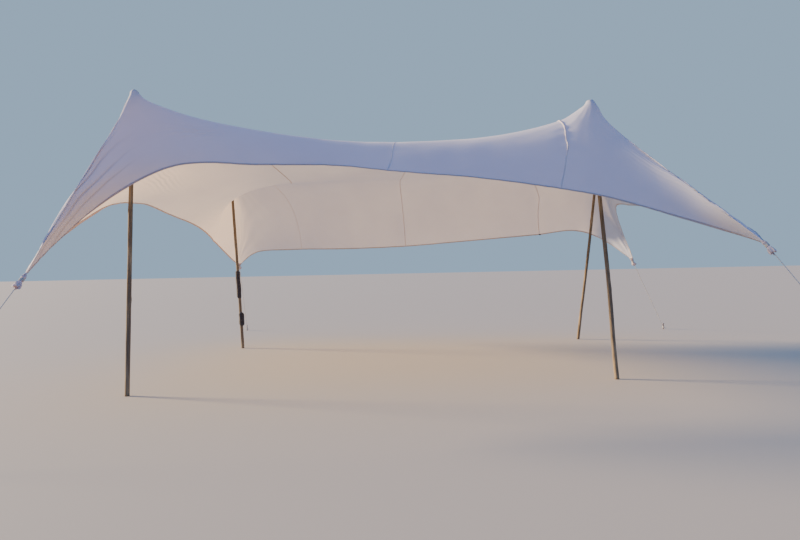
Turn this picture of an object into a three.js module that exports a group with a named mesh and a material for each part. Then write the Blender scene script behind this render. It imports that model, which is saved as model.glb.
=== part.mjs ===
import * as THREE from 'three';

// A stretch tent: a sheet of four sewn strips drawn over four timber poles
// and held down by a rope and a stake at each corner.
// Millimetres, Z up, ground at Z = 0, the tall front edge faces -Y.

// Sheet as it lies flat, and its seams
const SHEET_WIDTH = 6000;
const SEAMS = [1400, 2800, 4400];
const SHEET_DEPTH = 5200;
const CLOTH_THICKNESS = 4;
const SEAM_WIDTH = 16;
const SEAM_THICKNESS = 7;
const SEAM_GAP = 0.8;
const HEM_WIDTH = 14;
const HEM_WIDTH_AT_KNOT = 4;
const HEM_THICKNESS = 7;
const GAP = 0.3;
const HEM_GAP = 2.3;
const HEM_GAP_AT_KNOT = 0.5;

// Places on the flat sheet that the pole tops push up
const POLE_PLACES = {
  front_left: [870, 720],
  front_right: [4740, 720],
  back_right: [4960, 4220],
  back_left: [1000, 4220],
};

// How much harder the cloth pulls along its ridges than elsewhere
const FRONT_RIDGE_PULL = 1.15;
const BACK_RIDGE_PULL = 10.7;
const LEFT_RIDGE_PULL = 0.85;
const RIGHT_RIDGE_PULL = 11.5;
const CORNER_PULLS = { front_left: 850, front_right: 85, back_right: 35, back_left: 36 };
const RIDGE_BAND = 440;
const CORNER_BAND = 75;
const ACROSS_PULL = 2.5;

// Small dome of cloth over each pole top
const PEAK_RADIUS = 70;
const PEAK_DROP = 56;

// Cloth round the front pole tops sinks below the even balance of its pulls,
// all round and towards the corner, but not within a margin of the free edges.
// Each is [most that it sinks, distance from the pole where it does].
const SINKS = {
  front_left: { around: [54, 190], toCorner: [99, 198] },
  front_right: { around: [-35, 289], toCorner: [69, 264] },
};
const SINK_MARGIN = 400;

// Cloth close to a pole keeps this far from its middle line
const NEAR_POLE = 500;
const POLE_CLEARANCE = 45;

// Spacing of the lines the sheet is worked out on
const FINE_STEP = 70;
const COARSE_STEP = 250;
const STEP_GROWTH = 0.35;

// Corners: pole foot, where the cloth peaks, corner tip of the cloth, stake
const CORNERS = {
  front_left: {
    foot: [-3671, -2243],
    peak: [-3596, -2054, 3118],
    tip: [-4015, -3497, 1173],
    stake: [-4317, -4559],
  },
  front_right: {
    foot: [1362, -2194],
    peak: [1292, -1782, 3068],
    tip: [2074, -3611, 1356],
    stake: [2507, -4560],
  },
  back_right: {
    foot: [2255, 1436],
    peak: [2441, 838, 2974],
    tip: [3377, 1733, 1257],
    stake: [4317, 2631],
  },
  back_left: {
    foot: [-3214, 1493],
    peak: [-3351, 1501, 2775],
    tip: [-3489, 2764, 1330],
    stake: [-3686, 4560],
  },
};

// Free edges of the pitched sheet between the corner tips.
// Each point is [share of the sheet's edge, x, y, z].
const EDGES = {
  front: [
    [0.062, -4105, -2789, 1480],
    [0.106, -3766, -2612, 1864],
    [0.159, -3234, -2448, 2223],
    [0.254, -2197, -2398, 2267],
    [0.487, -917, -2455, 2182],
    [0.687, 367, -2543, 2032],
    [0.786, 1097, -2643, 1887],
    [0.871, 1760, -2838, 1654],
    [0.928, 2121, -3114, 1478],
    [0.947, 2243, -3202, 1412],
  ],
  back: [
    [0.07, -3220, 2563, 1536],
    [0.202, -2524, 2315, 1599],
    [0.346, -1479, 2093, 1590],
    [0.476, -455, 1973, 1615],
    [0.596, 561, 1854, 1681],
    [0.733, 1720, 1725, 1762],
    [0.823, 2343, 1683, 1813],
    [0.918, 2946, 1842, 1617],
  ],
  left: [
    [0.157, -4246, -2529, 1502],
    [0.244, -3933, -2200, 1855],
    [0.359, -3833, -1455, 2013],
    [0.53, -3763, -307, 1978],
    [0.723, -3675, 990, 1866],
    [0.893, -3590, 2087, 1567],
  ],
  right: [
    [0.115, 2280, -2974, 1555],
    [0.196, 2156, -2514, 1672],
    [0.414, 2296, -1221, 1903],
    [0.631, 2563, 64, 2070],
    [0.748, 2654, 759, 2130],
    [0.869, 2980, 1338, 1818],
  ],
};

// Poles, pads, knots, ropes and stakes
const POLE_RADIUS_FOOT = 25;
const POLE_RADIUS_TOP = 21;
const POLE_SIDES = 14;
const PAD_HEIGHT = 66;
const PAD_PROFILE = [[0, 17], [0.15, 16.5], [0.5, 8.6], [0.8, 2.6], [0.99, 0.3]];
const NECK_WIDTH = 120;
const KNOT_LENGTH = 120;
const KNOT_SIDES = 12;
const KNOT_PROFILE = [[0, 14], [0.22, 24], [0.38, 20], [0.62, 33], [0.82, 27], [1, 9]];
const MOST_KNOT_LEAN = Math.cos(Math.PI / 6);
const ROPE_RADIUS = 4;
const ROPE_SIDES = 8;
const STAKE_RADIUS = 10;
const STAKE_HEAD_RADIUS = 17;
const STAKE_HEIGHT = 110;
const ROPE_HEIGHT_ON_STAKE = 55;

const MATERIALS = {
  cloth: new THREE.MeshStandardMaterial({ color: 0xe9e7ec, roughness: 0.75, metalness: 0, side: THREE.DoubleSide }),
  seam: new THREE.MeshStandardMaterial({ color: 0xdedce2, roughness: 0.8, metalness: 0 }),
  wood: new THREE.MeshStandardMaterial({ color: 0x7b6a55, roughness: 0.85, metalness: 0 }),
  pad: new THREE.MeshStandardMaterial({ color: 0x5d554c, roughness: 0.9, metalness: 0 }),
  rope: new THREE.MeshStandardMaterial({ color: 0xd9d6cc, roughness: 0.85, metalness: 0 }),
  steel: new THREE.MeshStandardMaterial({ color: 0x8b8b88, roughness: 0.5, metalness: 0.9 }),
};

const group = new THREE.Group();
group.name = 'stretch_tent';

function add(name, material, positions, triangles) {
  const geometry = new THREE.BufferGeometry();
  geometry.setAttribute('position', new THREE.Float32BufferAttribute(positions.flat(), 3));
  geometry.setIndex(triangles.flat());
  geometry.computeVertexNormals();
  const mesh = new THREE.Mesh(geometry, MATERIALS[material]);
  mesh.name = name;
  group.add(mesh);
}

// Small vector helpers
const plus = (a, b, k = 1) => [a[0] + b[0] * k, a[1] + b[1] * k, a[2] + b[2] * k];
const minus = (a, b) => plus(a, b, -1);
const dot = (a, b) => a[0] * b[0] + a[1] * b[1] + a[2] * b[2];
const size = (a) => Math.hypot(...a);
const unit = (a) => plus([0, 0, 0], a, 1 / size(a));
const mix = (a, b, t) => plus(a, minus(b, a), t);
const cross = (a, b) => [
  a[1] * b[2] - a[2] * b[1],
  a[2] * b[0] - a[0] * b[2],
  a[0] * b[1] - a[1] * b[0],
];

// Lines across the sheet through all stops, closer together near the marks
function spread(marks, stops) {
  const lines = [0];
  const through = [...new Set([...marks, ...stops])].sort((a, b) => a - b);
  for (let n = 1; n < through.length; n++) {
    const [from, to] = [through[n - 1], through[n]];
    const counts = [0];
    for (let x = from; x < to; x++) {
      const away = Math.min(...marks.map((m) => Math.abs(m - x - 0.5)));
      counts.push(counts.at(-1) + 1 / Math.min(COARSE_STEP, FINE_STEP + STEP_GROWTH * away));
    }
    const cells = Math.max(1, Math.round(counts.at(-1)));
    for (let k = 1; k < cells; k++) {
      lines.push(from + counts.findIndex((count) => count >= (k * counts.at(-1)) / cells));
    }
    lines.push(to);
  }
  return lines;
}

// Smooth curve through rows of [share, x, y, z]
function curveAt(rows, share) {
  let i = rows.findIndex((row) => row[0] > share) - 1;
  if (i < 0) i = rows.length - 2;
  const slope = (a, b) => [1, 2, 3].map((k) => (b[k] - a[k]) / (b[0] - a[0]));
  const tangent = (n) => {
    if (n === 0) return slope(rows[0], rows[1]);
    if (n === rows.length - 1) return slope(rows[n - 1], rows[n]);
    const before = rows[n][0] - rows[n - 1][0];
    const after = rows[n + 1][0] - rows[n][0];
    return mix(slope(rows[n - 1], rows[n]), slope(rows[n], rows[n + 1]), before / (before + after));
  };
  const step = rows[i + 1][0] - rows[i][0];
  const t = (share - rows[i][0]) / step;
  const a = rows[i].slice(1);
  const b = rows[i + 1].slice(1);
  const rise = plus(plus([0, 0, 0], tangent(i), step * t * (1 - t) ** 2), tangent(i + 1), -step * t * t * (1 - t));
  return plus(mix(a, b, t * t * (3 - 2 * t)), rise);
}

const edge = (name, from, to) => [[0, ...CORNERS[from].tip], ...EDGES[name], [1, ...CORNERS[to].tip]];
const frontEdge = edge('front', 'front_left', 'front_right');
const backEdge = edge('back', 'back_left', 'back_right');
const leftEdge = edge('left', 'front_left', 'back_left');
const rightEdge = edge('right', 'front_right', 'back_right');

// Corners of the flat sheet, and the lines the pitched sheet is worked out on
const CORNER_PLACES = {
  front_left: [0, 0],
  front_right: [SHEET_WIDTH, 0],
  back_right: [SHEET_WIDTH, SHEET_DEPTH],
  back_left: [0, SHEET_DEPTH],
};
const poleMarks = (axis) => Object.values(POLE_PLACES).map((place) => place[axis]);
const across = spread([0, ...poleMarks(0), SHEET_WIDTH], SEAMS);
const along = spread([0, ...poleMarks(1), SHEET_DEPTH], []);
const COLUMNS = across.length;
const ROWS = along.length;
const at = (i, j) => i * ROWS + j;

// Pull of the cloth at a place on the flat sheet, in a direction
const BANDS = [
  [POLE_PLACES.front_left, POLE_PLACES.front_right, FRONT_RIDGE_PULL, RIDGE_BAND],
  [POLE_PLACES.back_left, POLE_PLACES.back_right, BACK_RIDGE_PULL, RIDGE_BAND],
  [POLE_PLACES.front_left, POLE_PLACES.back_left, LEFT_RIDGE_PULL, RIDGE_BAND],
  [POLE_PLACES.front_right, POLE_PLACES.back_right, RIGHT_RIDGE_PULL, RIDGE_BAND],
];
for (const [name, strength] of Object.entries(CORNER_PULLS)) {
  BANDS.push([CORNER_PLACES[name], POLE_PLACES[name], strength, CORNER_BAND]);
}

function pull(u, v, direction) {
  let total = 1;
  for (const [a, b, strength, width] of BANDS) {
    const run = [b[0] - a[0], b[1] - a[1]];
    const length = Math.hypot(...run);
    const t = ((u - a[0]) * run[0] + (v - a[1]) * run[1]) / length ** 2;
    const s = Math.min(1, Math.max(0, t));
    const away = Math.hypot(u - a[0] - s * run[0], v - a[1] - s * run[1]);
    const aligned = (run[0] * direction[0] + run[1] * direction[1]) / length;
    total += strength * Math.exp(-((away / width) ** 2)) * aligned ** 2;
  }
  return total;
}

// Links between neighbouring points of the sheet, each with its pull
const share = (lines, i) => ((lines[i + 1] ?? lines[i]) - (lines[i - 1] ?? lines[i])) / 2;
const links = [];
for (let i = 0; i < COLUMNS; i++) {
  for (let j = 0; j < ROWS; j++) {
    const du = across[i + 1] - across[i];
    const dv = along[j + 1] - along[j];
    const u = across[i] + du / 2;
    const v = along[j] + dv / 2;
    if (i + 1 < COLUMNS) {
      const k = (ACROSS_PULL * share(along, j)) / du;
      links.push([at(i, j), at(i + 1, j), k * pull(u, along[j], [1, 0])]);
    }
    if (j + 1 < ROWS) {
      links.push([at(i, j), at(i, j + 1), (share(across, i) / dv) * pull(across[i], v, [0, 1])]);
    }
    if (i + 1 < COLUMNS && j + 1 < ROWS) {
      const d = Math.hypot(du, dv);
      const k = (du * dv) / d ** 2;
      links.push([at(i, j), at(i + 1, j + 1), k * pull(u, v, [du / d, dv / d])]);
      links.push([at(i + 1, j), at(i, j + 1), k * pull(u, v, [du / d, -dv / d])]);
    }
  }
}

// Held points: the four edges and the four pole tops
const held = new Map();
for (let i = 0; i < COLUMNS; i++) {
  held.set(at(i, 0), curveAt(frontEdge, across[i] / SHEET_WIDTH));
  held.set(at(i, ROWS - 1), curveAt(backEdge, across[i] / SHEET_WIDTH));
}
for (let j = 0; j < ROWS; j++) {
  held.set(at(0, j), curveAt(leftEdge, along[j] / SHEET_DEPTH));
  held.set(at(COLUMNS - 1, j), curveAt(rightEdge, along[j] / SHEET_DEPTH));
}
for (const [name, place] of Object.entries(POLE_PLACES)) {
  const { peak } = CORNERS[name];
  const [column, row] = [across.indexOf(place[0]), along.indexOf(place[1])];
  for (const [di, dj] of [[-1, -1], [-1, 0], [-1, 1], [0, -1], [0, 1], [1, -1], [1, 0], [1, 1]]) {
    const out = PEAK_RADIUS / Math.hypot(di, dj);
    held.set(at(column + di, row + dj), plus(peak, [di * out, dj * out, -PEAK_DROP]));
  }
  held.set(at(column, row), peak);
}

// Balance of the pulls on every free point, by conjugate gradients
function balance(axis) {
  const count = COLUMNS * ROWS;
  const x = new Float64Array(count).fill(CORNERS.front_left.peak[axis]);
  for (const [n, point] of held) x[n] = point[axis];
  const net = (values) => {
    const out = new Float64Array(count);
    for (const [a, b, k] of links) {
      const force = k * (values[b] - values[a]);
      out[a] += force;
      out[b] -= force;
    }
    for (const n of held.keys()) out[n] = 0;
    return out;
  };
  const total = (p, q) => p.reduce((sum, value, n) => sum + value * q[n], 0);
  const residual = net(x);
  const search = residual.slice();
  let before = total(residual, residual);
  for (let round = 0; round < 2000 && before > 1e-8; round++) {
    const change = net(search);
    const step = -before / total(search, change);
    for (let n = 0; n < count; n++) {
      x[n] += step * search[n];
      residual[n] += step * change[n];
    }
    const now = total(residual, residual);
    for (let n = 0; n < count; n++) search[n] = residual[n] + (now / before) * search[n];
    before = now;
  }
  return x;
}

let solved = [0, 1, 2].map(balance);
const P = (i, j) => solved.map((values) => values[at(i, j)]);

// Cloth that would pass into a pole rests against it instead
function restOnPoles() {
  const before = held.size;
  for (const [name, place] of Object.entries(POLE_PLACES)) {
    const { foot, peak } = CORNERS[name];
    for (let n = 0; n < COLUMNS * ROWS; n++) {
      const [i, j] = [Math.floor(n / ROWS), n % ROWS];
      const away = [across[i] - place[0], along[j] - place[1], 0];
      if (held.has(n) || size(away) > NEAR_POLE) continue;
      const point = P(i, j);
      const axis = mix([...foot, 0], peak, point[2] / peak[2]);
      const short = POLE_CLEARANCE - dot(minus(point, axis), unit(away));
      if (short > 0) held.set(n, plus(point, unit(away), short));
    }
  }
  return held.size > before;
}
for (let round = 0; round < 3 && restOnPoles(); round++) solved = [0, 1, 2].map(balance);

// Cloth sunk round the front pole tops
const sink = ([most, far], away) => ((most * away) / far) * Math.exp(1 - away / far);
for (const [name, { around, toCorner }] of Object.entries(SINKS)) {
  const place = POLE_PLACES[name];
  const corner = unit([CORNER_PLACES[name][0] - place[0], CORNER_PLACES[name][1] - place[1], 0]);
  for (let n = 0; n < COLUMNS * ROWS; n++) {
    const [u, v] = [across[Math.floor(n / ROWS)], along[n % ROWS]];
    const from = [u - place[0], v - place[1], 0];
    const away = size(from);
    const facing = Math.max(0, dot(from, corner) / (away || 1)) ** 2;
    const margin = Math.min(u, SHEET_WIDTH - u, v, SHEET_DEPTH - v) / SINK_MARGIN;
    const depth = sink(around, away) * (1 - facing) + sink(toCorner, away) * facing;
    solved[2][n] -= depth * Math.min(1, margin);
  }
}

// Upward normal of the sheet at every point
const normals = [];
for (let i = 0; i < COLUMNS; i++) {
  for (let j = 0; j < ROWS; j++) {
    const du = minus(P(Math.min(i + 1, COLUMNS - 1), j), P(Math.max(i - 1, 0), j));
    const dv = minus(P(i, Math.min(j + 1, ROWS - 1)), P(i, Math.max(j - 1, 0)));
    normals[at(i, j)] = unit(cross(du, dv));
  }
}

// Closed plate from a net of points with normals; cells are split so that a
// dropped corner leaves a clean slanted end.
function plate(name, material, net, thickness, dropped = []) {
  const columns = net.length;
  const rows = net[0].length;
  const positions = [];
  const index = (i, j, side) => (i * rows + j) * 2 + side;
  for (const column of net) {
    for (const { point, normal, half = thickness / 2 } of column) {
      positions.push(plus(point, normal, half), plus(point, normal, -half));
    }
  }
  const faces = [];
  for (let i = 0; i + 1 < columns; i++) {
    for (let j = 0; j + 1 < rows; j++) {
      const [a, b, c, d] = [[i, j], [i + 1, j], [i + 1, j + 1], [i, j + 1]];
      const corner = dropped.find(([p, q]) => [a, b, c, d].some(([m, n]) => m === p && n === q));
      const rising = corner && (corner[0] === i) !== (corner[1] === j);
      const pair = rising ? [[a, b, c], [a, c, d]] : [[a, b, d], [b, c, d]];
      for (const face of pair) {
        if (!corner || !face.some(([m, n]) => m === corner[0] && n === corner[1])) faces.push(face);
      }
    }
  }
  const triangles = [];
  const open = new Map();
  for (const face of faces) {
    const top = face.map(([i, j]) => index(i, j, 0));
    triangles.push(top, top.map((n) => n + 1).reverse());
    for (let k = 0; k < 3; k++) {
      const [a, b] = [top[k], top[(k + 1) % 3]];
      if (!open.delete(`${b} ${a}`)) open.set(`${a} ${b}`, [a, b]);
    }
  }
  for (const [a, b] of open.values()) triangles.push([b, a, a + 1], [b, a + 1, b + 1]);
  const used = [...new Set(triangles.flat())];
  const renumber = new Map(used.map((n, k) => [n, k]));
  add(name, material, used.map((n) => positions[n]), triangles.map((t) => t.map((n) => renumber.get(n))));
}

// Direction across a seam, square to its run or along the free edge it ends at
function acrossSeam(i, j) {
  const run = minus(P(i, Math.min(j + 1, ROWS - 1)), P(i, Math.max(j - 1, 0)));
  const square = unit(cross(run, normals[at(i, j)]));
  if (j > 0 && j < ROWS - 1) return square;
  const side = dot(square, minus(P(i + 1, j), P(i, j))) > 0 ? 1 : -1;
  const edgeRun = minus(P(i + side, j), P(i, j));
  return plus([0, 0, 0], edgeRun, 1 / dot(edgeRun, square));
}
const seamColumns = [0, ...SEAMS.map((seam) => across.indexOf(seam)), COLUMNS - 1];
const STRIPS = SEAMS.length + 1;
const cell = (i, j, shift = [0, 0, 0], k = 0) => ({ point: plus(P(i, j), shift, k), normal: normals[at(i, j)] });
const rowsOf = (make) => Array.from({ length: ROWS }, (_, j) => make(j));

// Strips of cloth, stopping short of the sewn seams
for (let strip = 0; strip < STRIPS; strip++) {
  const [first, last] = [seamColumns[strip], seamColumns[strip + 1]];
  const net = [];
  for (let i = first; i <= last; i++) {
    let inset = 0;
    if (i === first && strip > 0) inset = SEAM_WIDTH / 2 + SEAM_GAP;
    if (i === last && strip < STRIPS - 1) inset = -SEAM_WIDTH / 2 - SEAM_GAP;
    net.push(rowsOf((j) => (inset ? cell(i, j, acrossSeam(i, j), inset) : cell(i, j))));
  }
  const dropped = [];
  if (strip === 0) dropped.push([0, 0], [0, ROWS - 1]);
  if (strip === STRIPS - 1) dropped.push([last - first, 0], [last - first, ROWS - 1]);
  plate(`canopy_strip_${strip + 1}`, 'cloth', net, CLOTH_THICKNESS, dropped);
}

// Raised welts of the seams
for (let seam = 1; seam < STRIPS; seam++) {
  const i = seamColumns[seam];
  const net = [-1, 1].map((side) => rowsOf((j) => cell(i, j, acrossSeam(i, j), (side * SEAM_WIDTH) / 2)));
  plate(`seam_${seam}`, 'seam', net, SEAM_THICKNESS);
}

// Folded hems outside the free edges, from knot to knot
function hem(name, count, place, inner, flip) {
  const net = [[], []];
  for (let n = 2; n < count - 2; n++) {
    const [i, j] = place(n);
    const run = minus(P(...place(n + 1)), P(...place(n - 1)));
    const sideways = unit(cross(run, normals[at(i, j)]));
    const inward = minus(P(...inner(i, j)), P(i, j));
    const sign = dot(sideways, inward) > 0 ? -1 : 1;
    const atKnot = n === 2 || n === count - 3;
    const gap = atKnot ? HEM_GAP_AT_KNOT : HEM_GAP;
    const width = atKnot ? HEM_WIDTH_AT_KNOT : HEM_WIDTH;
    net[0].push({ ...cell(i, j, sideways, sign * gap), half: CLOTH_THICKNESS / 2 });
    net[1].push(cell(i, j, sideways, sign * (gap + width)));
  }
  plate(name, 'seam', flip ? net.reverse() : net, HEM_THICKNESS);
}

hem('hem_front', COLUMNS, (n) => [n, 0], (i) => [i, 1], false);
hem('hem_back', COLUMNS, (n) => [n, ROWS - 1], (i) => [i, ROWS - 2], true);
hem('hem_left', ROWS, (n) => [0, n], (i, j) => [1, j], true);
hem('hem_right', ROWS, (n) => [COLUMNS - 1, n], (i, j) => [COLUMNS - 2, j], false);

// Closed round body from rings of [centre, radius, side direction, other direction]
function rod(name, material, rings, sides) {
  const positions = [];
  const triangles = [];
  rings.forEach(([centre, radius, e1, e2]) => {
    for (let k = 0; k < sides; k++) {
      const angle = (2 * Math.PI * k) / sides;
      positions.push(plus(plus(centre, e1, radius * Math.cos(angle)), e2, radius * Math.sin(angle)));
    }
  });
  for (let r = 0; r + 1 < rings.length; r++) {
    for (let k = 0; k < sides; k++) {
      const a = r * sides + k;
      const b = r * sides + ((k + 1) % sides);
      triangles.push([a, b, b + sides], [a, b + sides, a + sides]);
    }
  }
  const start = positions.push(rings[0][0]) - 1;
  const end = positions.push(rings.at(-1)[0]) - 1;
  const last = (rings.length - 1) * sides;
  for (let k = 0; k < sides; k++) {
    const next = (k + 1) % sides;
    triangles.push([start, next, k], [end, last + k, last + next]);
  }
  add(name, material, positions, triangles);
}

// How far the cloth and hems near a point reach along a line
function reach(point, line) {
  let furthest = 0;
  for (const mesh of group.children) {
    const { array } = mesh.geometry.attributes.position;
    for (let n = 0; n < array.length; n += 3) {
      const from = minus([array[n], array[n + 1], array[n + 2]], point);
      if (size(from) < NECK_WIDTH) furthest = Math.max(furthest, dot(from, line));
    }
  }
  return furthest;
}

const LEVEL = [[1, 0, 0], [0, 1, 0]];
const dropOf = { front_left: [0, 0], front_right: [1, 0], back_right: [1, 1], back_left: [0, 1] };

for (const [name, corner] of Object.entries(CORNERS)) {
  // Pole, level at the foot, and the padded point it lifts the cloth with
  const foot = [...corner.foot, 0];
  const apex = plus(corner.peak, [0, 0, -1], CLOTH_THICKNESS / 2 + 3 * GAP);
  const top = mix(foot, apex, 1 - PAD_HEIGHT / apex[2]);
  rod(`pole_${name}`, 'wood', [
    [foot, POLE_RADIUS_FOOT, ...LEVEL],
    [mix(foot, top, 0.5), (POLE_RADIUS_FOOT + POLE_RADIUS_TOP) / 2, ...LEVEL],
    [top, POLE_RADIUS_TOP, ...LEVEL],
  ], POLE_SIDES);
  const padFoot = plus(top, [0, 0, 1], GAP);
  const padRings = PAD_PROFILE.map(([t, r]) => [mix(padFoot, apex, t), r, ...LEVEL]);
  rod(`pad_${name}`, 'pad', padRings, POLE_SIDES);

  // Gathered knot against the cut corner of the cloth
  const [right, back] = dropOf[name];
  const i = right * (COLUMNS - 1);
  const j = back * (ROWS - 1);
  const neck = mix(P(i + 1 - 2 * right, j), P(i, j + 1 - 2 * back), 0.5);
  const stakeEye = [...corner.stake, ROPE_HEIGHT_ON_STAKE];
  const line = unit(minus(stakeEye, neck));
  const sideways = unit(cross(line, [0, 0, 1]));
  const around = [sideways, cross(line, sideways)];
  const cut = unit(minus(P(i + 1 - 2 * right, j), P(i, j + 1 - 2 * back)));
  const rim1 = plus([0, 0, 0], cut, Math.sign(dot(cut, sideways)));
  const rim2 = unit(cross(line, rim1));
  const offCut = unit(cross(rim1, rim2));
  const leans = dot(line, offCut) > MOST_KNOT_LEAN;
  const out = leans ? offCut : line;
  const knotStart = plus(neck, out, reach(neck, out) + GAP);
  const knotRings = KNOT_PROFILE.map(([t, r]) => [plus(knotStart, line, t * KNOT_LENGTH), r, ...around]);
  if (leans) knotRings[0].splice(2, 2, rim1, rim2);
  rod(`knot_${name}`, 'cloth', knotRings, KNOT_SIDES);

  // Guy rope down to the stake
  const ropeStart = plus(knotStart, line, KNOT_LENGTH + GAP);
  const level = unit([line[0], line[1], 0]);
  const clear = STAKE_RADIUS + GAP + ROPE_RADIUS * Math.abs(line[2]);
  const ropeEnd = plus(stakeEye, line, -clear / dot(line, level));
  rod(`rope_${name}`, 'rope', [
    [ropeStart, ROPE_RADIUS, ...around],
    [ropeEnd, ROPE_RADIUS, ...around],
  ], ROPE_SIDES);

  // Stake, shown from the ground up
  const ground = [...corner.stake, 0];
  const up = (z) => plus(ground, [0, 0, 1], z);
  rod(`stake_${name}`, 'steel', [
    [ground, STAKE_RADIUS, ...LEVEL],
    [up(STAKE_HEIGHT - 16), STAKE_RADIUS, ...LEVEL],
    [up(STAKE_HEIGHT - 12), STAKE_HEAD_RADIUS, ...LEVEL],
    [up(STAKE_HEIGHT), STAKE_HEAD_RADIUS, ...LEVEL],
  ], POLE_SIDES);
}

export default group;
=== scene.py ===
import math
import bpy
import numpy as np
from mathutils import Matrix


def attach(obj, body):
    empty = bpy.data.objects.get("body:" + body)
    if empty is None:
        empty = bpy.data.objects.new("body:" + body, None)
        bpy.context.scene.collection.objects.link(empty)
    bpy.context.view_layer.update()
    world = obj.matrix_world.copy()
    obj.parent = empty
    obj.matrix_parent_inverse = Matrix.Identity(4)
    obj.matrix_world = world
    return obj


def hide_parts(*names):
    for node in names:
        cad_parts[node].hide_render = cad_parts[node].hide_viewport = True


# A white stretch tent on four timber poles, dressed over its CAD model
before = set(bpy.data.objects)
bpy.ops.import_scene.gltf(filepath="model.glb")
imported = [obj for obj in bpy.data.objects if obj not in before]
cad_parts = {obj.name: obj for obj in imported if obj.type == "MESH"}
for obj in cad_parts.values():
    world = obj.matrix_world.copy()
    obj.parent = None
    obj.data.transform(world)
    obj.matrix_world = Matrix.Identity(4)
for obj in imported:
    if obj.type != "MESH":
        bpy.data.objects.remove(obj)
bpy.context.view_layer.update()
CORNERS = ("front_left", "front_right", "back_right", "back_left")


def by_corner(*values):
    return dict(zip(CORNERS, values))


# Flat sheet and pitched form, in millimetres as in the CAD source
WIDTH, DEPTH = 6000, 5200
SEAMS = (1400, 2800, 4400)
POLE_PLACES = by_corner((870, 720), (4740, 720), (4960, 4220), (1000, 4220))
CORNER_PLACES = by_corner((0, 0), (WIDTH, 0), (WIDTH, DEPTH), (0, DEPTH))
RIDGE_PULLS = (
    ("front_left", "front_right", 1.15),
    ("back_left", "back_right", 10.7),
    ("front_left", "back_left", 0.85),
    ("front_right", "back_right", 11.5),
)
CORNER_PULLS = by_corner(850, 85, 35, 36)
RIDGE_BAND, CORNER_BAND, ACROSS_PULL = 440, 75, 2.5
PEAK_RADIUS, PEAK_DROP = 70, 56
SINKS = {"front_left": ((54, 190), (99, 198)), "front_right": ((-35, 289), (69, 264))}
SINK_MARGIN = 400
NEAR_POLE, POLE_CLEARANCE = 500, 45
FINE_STEP, COARSE_STEP, STEP_GROWTH = 70, 250, 0.35
FOOT = by_corner((-3671, -2243), (1362, -2194), (2255, 1436), (-3214, 1493))
PEAK = by_corner((-3596, -2054, 3118), (1292, -1782, 3068), (2441, 838, 2974), (-3351, 1501, 2775))
TIP = by_corner((-4015, -3497, 1173), (2074, -3611, 1356), (3377, 1733, 1257), (-3489, 2764, 1330))
STAKE = by_corner((-4317, -4559), (2507, -4560), (4317, 2631), (-3686, 4560))
# Rows: share of the edge from its first corner, and the place
EDGES = {
    "front": [
        (0.062, -4105, -2789, 1480), (0.106, -3766, -2612, 1864),
        (0.159, -3234, -2448, 2223), (0.254, -2197, -2398, 2267),
        (0.487, -917, -2455, 2182), (0.687, 367, -2543, 2032),
        (0.786, 1097, -2643, 1887), (0.871, 1760, -2838, 1654),
        (0.928, 2121, -3114, 1478), (0.947, 2243, -3202, 1412),
    ],
    "back": [
        (0.07, -3220, 2563, 1536), (0.202, -2524, 2315, 1599),
        (0.346, -1479, 2093, 1590), (0.476, -455, 1973, 1615),
        (0.596, 561, 1854, 1681), (0.733, 1720, 1725, 1762),
        (0.823, 2343, 1683, 1813), (0.918, 2946, 1842, 1617),
    ],
    "left": [
        (0.157, -4246, -2529, 1502), (0.244, -3933, -2200, 1855),
        (0.359, -3833, -1455, 2013), (0.53, -3763, -307, 1978),
        (0.723, -3675, 990, 1866), (0.893, -3590, 2087, 1567),
    ],
    "right": [
        (0.115, 2280, -2974, 1555), (0.196, 2156, -2514, 1672),
        (0.414, 2296, -1221, 1903), (0.631, 2563, 64, 2070),
        (0.748, 2654, 759, 2130), (0.869, 2980, 1338, 1818),
    ],
}

# Camera of the photograph, level and turned a little to the right
CAMERA_AT = (-1.3545, -8.5898, 1.2)
CAMERA_TURN = math.radians(3.9)
CAMERA_ROLL = 0.02
FOCAL_PIXELS, PHOTO_WIDTH = 620.0, 800
SENSOR_WIDTH = 36.0

# Sizes of the scene's own pieces, in metres
FLAT_WIDTH, FLAT_DEPTH = WIDTH / 1000, DEPTH / 1000
CLOTH_HALF, PAD_GAP, PAD_HEIGHT = 0.002, 0.001, 0.066
EYE_HEIGHT = 0.055
STRAND_STEP = 0.0045
POLE_RADII = (0.0245, 0.0205)
EAST, NORTH, UP = np.eye(3)


def metres(place):
    """A place in millimetres, two numbers on the ground or three, as a point in metres."""
    return np.array([*place, 0][:3]) / 1000


def unit(v):
    v = np.asarray(v)
    return v / np.maximum(np.linalg.norm(v, axis=-1, keepdims=True), 1e-12)


def smooth(a, b, x):
    t = np.clip((x - a) / (b - a), 0, 1)
    return t * t * (3 - 2 * t)


# Form of the pitched sheet, worked out as in the CAD source
def spread(marks, stops):
    """Lines across the sheet, close together near the marks, with one on each stop."""
    lines = [0.0]
    through = sorted({*marks, *stops})
    for a, b in zip(through[:-1], through[1:]):
        x = np.arange(a, b) + 0.5
        away = np.abs(x[:, None] - np.array(marks, float)[None, :]).min(axis=1)
        steps = np.minimum(COARSE_STEP, FINE_STEP + STEP_GROWTH * away)
        counts = np.concatenate([[0], np.cumsum(1 / steps)])
        cells = max(1, int(counts[-1] + 0.5))
        for k in range(1, cells):
            lines.append(float(a + np.argmax(counts >= k * counts[-1] / cells)))
        lines.append(float(b))
    return np.array(lines)


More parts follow.
